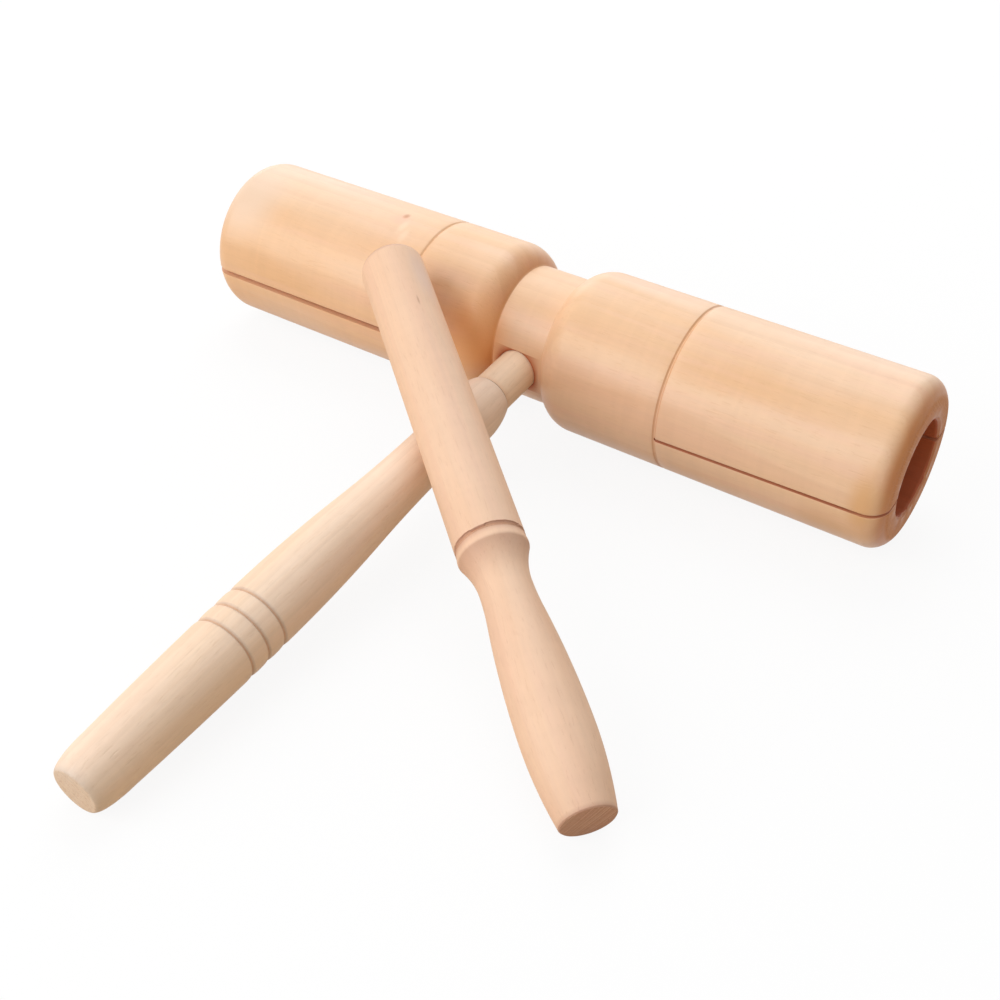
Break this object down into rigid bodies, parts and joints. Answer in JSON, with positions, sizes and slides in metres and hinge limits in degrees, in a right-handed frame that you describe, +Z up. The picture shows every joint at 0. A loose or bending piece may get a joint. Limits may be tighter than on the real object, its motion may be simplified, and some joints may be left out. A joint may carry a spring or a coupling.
{
  "type": "two-tone wood block with handle and beater",
  "caption": "Turned two-tone wood block lying on its side: two bored, kerfed tone chambers joined by a neck, a turned handle, and a loose turned beater across it.",
  "frame": {"origin": "on the floor, under the middle of the whole set's box", "axes": "+X along the tone body towards the chamber with the shorter kerf, +Z up, handle towards -Y"},
  "size_m": [0.211, 0.2002, 0.0523],
  "materials": {
    "body_wood": "satin clear lacquer on pale turned hardwood",
    "dowel_wood": "bare fine-grained pale dowel",
    "grip_wood": "bare sanded pale hardwood",
    "beater_wood": "bare sanded pinkish hardwood"
  },
  "bodies": {
    "block": {"tone_body": "body_wood", "handle_dowel": "dowel_wood", "handle_grip": "grip_wood"},
    "beater": {"beater": "beater_wood"}
  },
  "joints": [
    {"name": "beater_lift", "type": "slide", "parent": "block", "child": "beater", "axis": [0, 0, 1], "range_m": [0, 0.1]}
  ]
}
